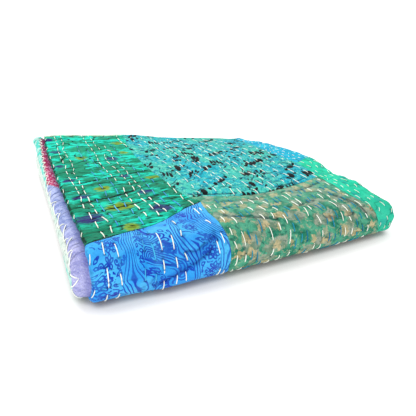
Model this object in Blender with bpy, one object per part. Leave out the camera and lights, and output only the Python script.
# Folded kantha quilt throw, modelled as one closed cloth body.
#
# The cloth is folded twice.  First it is folded in four along its length: the
# section in (x, w) is one back-and-forth line of four layers, where w is the
# depth below the outer face.  The bundle is then folded in three across its
# width: the section is carried along a rolled path in (y, z), over the top,
# round the front, back under the stack, round the back and in between.
# A smooth height field then gives the wedge shape, higher at the left.
#
# Units are metres, +Z is up, the cloth rests on z = 0, the rolled front fold
# faces -Y, the free hem of the top layer runs along -X.

import math
import bpy
import bmesh
import numpy as np

# ---------------------------------------------------------------- sizes
PITCH = 0.0050            # spacing of neighbouring layers, middle to middle
CLOTH = 0.0038            # thickness of the padded, puckered cloth
GAP = PITCH - CLOTH       # air between neighbouring layers
BUNDLE = 3 * PITCH + CLOTH        # four layers
STACK = 11 * PITCH + CLOTH        # twelve layers, the nominal height

X_HEM = -0.190            # free hem of the top layer
X_RIGHT = 0.190           # outer fold at the right
X_TUCK = X_HEM + 0.005    # free edge of the innermost layer
Y_FRONT = -0.2203         # front fold
Y_BACK = 0.2382           # free end of the top bundle
Y_BACK_FOLD = 0.2330      # fold of the lower bundles at the back
END_SLANT = 0.0045        # lower layers show this much behind the top one

PLAN_X = 0.190            # half sizes over which the plan shape varies
PLAN_Y = 0.190

# stack height at the left, middle and right: front, middle, back
STACK_HEIGHTS = (
    #  left    middle  right
    (0.0609, 0.0548, 0.0417),     # front
    (0.0540, 0.0496, 0.0436),     # middle
    (0.0590, 0.0396, 0.0280),     # back
)

# plan shape: polynomials of the right edge and of the back edge
RIGHT_EDGE = (0.0080, 0.0109, -0.0062, -0.0026)
BACK_EDGE = (0.0, -0.0330, -0.0100, 0.0190)
FRONT_BOW = -0.0064

# how far the left fold stands out beyond the hem, along the rolled path
#   part  start   end
LEFT_FOLD = {
    "over": (0.0139, 0.0134),
    "front": (0.0134, 0.0118),
    "under": (0.0118, 0.0150),
    "back": (0.0150, 0.0140),
    "inner": (0.0140, 0.0168),
}

# steps of each part of the rolled path
STEPS = {"over": 7, "front": 8, "under": 6, "back": 6, "inner": 6}
# steps of each part of the layered section
FLAT_STEPS = 10
WIDE_FOLD_STEPS = 7
LEFT_FOLD_STEPS = 7
TIGHT_FOLD_STEPS = 5

# the stack is centred over the origin
CENTRE_X = -0.00256
CENTRE_Y = 0.01411

LAYER_W = [CLOTH / 2 + k * PITCH for k in range(4)]    # top, second, third, fourth


# ---------------------------------------------------------------- section
def flat_run(x_from, x_to, steps, w):
    """Centre line points (x, w, normal x, normal w) of one flat layer."""
    side = 1.0 if x_to > x_from else -1.0
    out = []
    for k in range(steps + 1):
        out.append((x_from + (x_to - x_from) * k / steps, w, 0.0, -side))
    return out


def turn(x_c, w_c, radius, steps, to_right, downward):
    """Centre line of a half turn between two layers, ends left out."""
    out = []
    for k in range(1, steps):
        a = math.pi * k / steps
        dx = math.sin(a) * (1.0 if to_right else -1.0)
        dw = -math.cos(a) * (1.0 if downward else -1.0)
        s = 1.0 if downward == to_right else -1.0
        out.append((x_c + radius * dx, w_c + radius * dw, s * dx, s * dw))
    return out


def centre_line():
    """Four layers in one line, from the free hem to the tucked-in edge."""
    w1, w3, w4, w2 = LAYER_W
    x_turn = X_RIGHT - 1.5 * PITCH - CLOTH / 2
    x_left = X_HEM + 0.0
    pts, tag = [], []
    runs = (
        ("top", flat_run(X_HEM, x_turn, FLAT_STEPS, w1)),
        ("wide", turn(x_turn, (w1 + w2) / 2, 1.5 * PITCH, WIDE_FOLD_STEPS, True, True)),
        ("low", flat_run(x_turn, x_left, FLAT_STEPS, w2)),
        ("left", turn(x_left, (w2 + w3) / 2, PITCH, LEFT_FOLD_STEPS, False, False)),
        ("mid", flat_run(x_left, x_turn, FLAT_STEPS, w3)),
        ("tight", turn(x_turn, (w3 + w4) / 2, 0.5 * PITCH, TIGHT_FOLD_STEPS, True, True)),
        ("tuck", flat_run(x_turn, X_TUCK, FLAT_STEPS, w4)),
    )
    for name, run in runs:
        pts += run
        tag += [name] * len(run)
    return np.array(pts), tag


def closed_section():
    """Closed outline: one side of the centre line, a blunt nose, the other side."""
    line, tag = centre_line()
    half = CLOTH / 2
    a = line[:, :2] + line[:, 2:] * half
    b = line[:, :2] - line[:, 2:] * half
    nose_out = np.array([[line[0, 0] - half * 0.7, line[0, 1]]])
    nose_in = np.array([[line[-1, 0] - half * 0.7, line[-1, 1]]])
    outline = np.concatenate([a, nose_in, b[::-1], nose_out])
    # parts that take the sideways shift of the left fold
    moves = np.array([1.0 if n in ("low", "left", "mid") else 0.0 for n in tag])
    shift = np.concatenate([moves, [0.0], moves[::-1], [0.0]])
    return outline, shift, len(line)


# ---------------------------------------------------------------- rolled path
def along(part, s, w):
    """(y, z) at share s of one part of the path, w below the outer face."""
    y_turn = Y_FRONT + STACK / 2
    r_back = BUNDLE + GAP / 2
    y_back = Y_BACK_FOLD - r_back
    if part == "over":
        y = Y_BACK + (y_turn - Y_BACK) * s + END_SLANT * (w / BUNDLE) * (1 - s)
        return y, STACK - w
    if part == "front":
        a = math.pi * (0.5 + s)
        r = STACK / 2 - w
        return y_turn + r * math.cos(a), STACK / 2 + r * math.sin(a)
    if part == "under":
        return y_turn + (y_back - y_turn) * s + 0 * w, w
    if part == "back":
        a = math.pi * (s - 0.5)
        r = r_back - w
        return y_back + r * math.cos(a), r_back + r * math.sin(a)
    y = y_back + (y_turn + 0.002 - y_back) * s
    return y + 0 * w, 2 * r_back - w


# ---------------------------------------------------------------- wedge shape
def blend3(v, s):
    return v[0] * s * (s - 1) / 2 + v[1] * (1 - s * s) + v[2] * s * (s + 1) / 2


def poly(c, s):
    return c[0] + c[1] * s + c[2] * s ** 2 + c[3] * s ** 3


def settle(x, y, z):
    """Plan shape and height of the settled stack."""
    a = np.clip(x / PLAN_X, -1.15, 1.1)
    b = np.clip(y / PLAN_Y, -1.1, 1.15)
    rows = [blend3(r, a) for r in STACK_HEIGHTS]
    height = blend3(rows, b)
    u = np.clip((x - X_HEM) / (X_RIGHT - X_HEM), 0, 1.1)
    v = np.clip((y - Y_FRONT) / (Y_BACK - Y_FRONT), 0, 1.1)
    px = x / PLAN_X
    py = y / PLAN_Y
    x2 = x + u ** 1.5 * poly(RIGHT_EDGE, py)
    y2 = y + v * poly(BACK_EDGE, px) + (1 - np.clip(v, 0, 1)) * FRONT_BOW * (1 - px * px)
    z2 = z * height / STACK
    return x2 - CENTRE_X, y2 - CENTRE_Y, z2


def left_shift(part, s):
    lo, hi = LEFT_FOLD[part]
    k = s * s * (3 - 2 * s)
    return lo + (hi - lo) * k


def stations():
    out = []
    for part in ("over", "front", "under", "back", "inner"):
        n = STEPS[part]
        first = 0 if part == "over" else 1
        for k in range(first, n + 1):
            out.append((part, k / n))
    return out


def build_quilt():
    outline, shift, n_line = closed_section()
    n = len(outline)
    verts, faces = [], []
    reach = PITCH + CLOTH / 2
    rows = stations()
    for part, s in rows:
        x = outline[:, 0].copy()
        w = outline[:, 1]
        near = np.clip((X_HEM + 0.060 - x) / 0.060, 0, 1)
        near = near * near * (3 - 2 * near)
        x = x - shift * near * (left_shift(part, s) - reach)
        y, z = along(part, s, w)
        x, y, z = settle(x, y, z)
        verts += list(zip(x.tolist(), y.tolist(), z.tolist()))
    for r in range(len(rows) - 1):
        for k in range(n):
            j = (k + 1) % n
            faces.append((r * n + k, r * n + j, (r + 1) * n + j, (r + 1) * n + k))
    # end faces: quads across the thickness and a nose triangle at each hem
    for base, flip in ((0, False), ((len(rows) - 1) * n, True)):
        cap = []
        for k in range(n_line - 1):
            cap.append((base + k, base + k + 1, base + 2 * n_line - k - 1, base + 2 * n_line - k))
        cap.append((base + n_line - 1, base + n_line, base + n_line + 1))
        cap.append((base + 0, base + 2 * n_line, base + 2 * n_line + 1))
        faces += [tuple(reversed(f)) if flip else f for f in cap]
    mesh = bpy.data.meshes.new("quilt")
    mesh.from_pydata(verts, [], faces)
    bm = bmesh.new()
    bm.from_mesh(mesh)
    bmesh.ops.recalc_face_normals(bm, faces=bm.faces)
    bmesh.ops.triangulate(bm, faces=bm.faces)
    bm.to_mesh(mesh)
    bm.free()
    mesh.update()
    obj = bpy.data.objects.new("quilt", mesh)
    bpy.context.scene.collection.objects.link(obj)
    return obj


def cotton(name, color, rough):
    mat = bpy.data.materials.new(name)
    mat.use_nodes = True
    bsdf = mat.node_tree.nodes["Principled BSDF"]
    bsdf.inputs["Base Color"].default_value = color
    bsdf.inputs["Roughness"].default_value = rough
    bsdf.inputs["Metallic"].default_value = 0.0
    return mat


for old in list(bpy.data.objects):
    bpy.data.objects.remove(old, do_unlink=True)

quilt = build_quilt()
quilt.data.materials.append(cotton("patchwork_cotton", (0.02, 0.44, 0.36, 1.0), 0.85))
for poly_face in quilt.data.polygons:
    poly_face.use_smooth = False
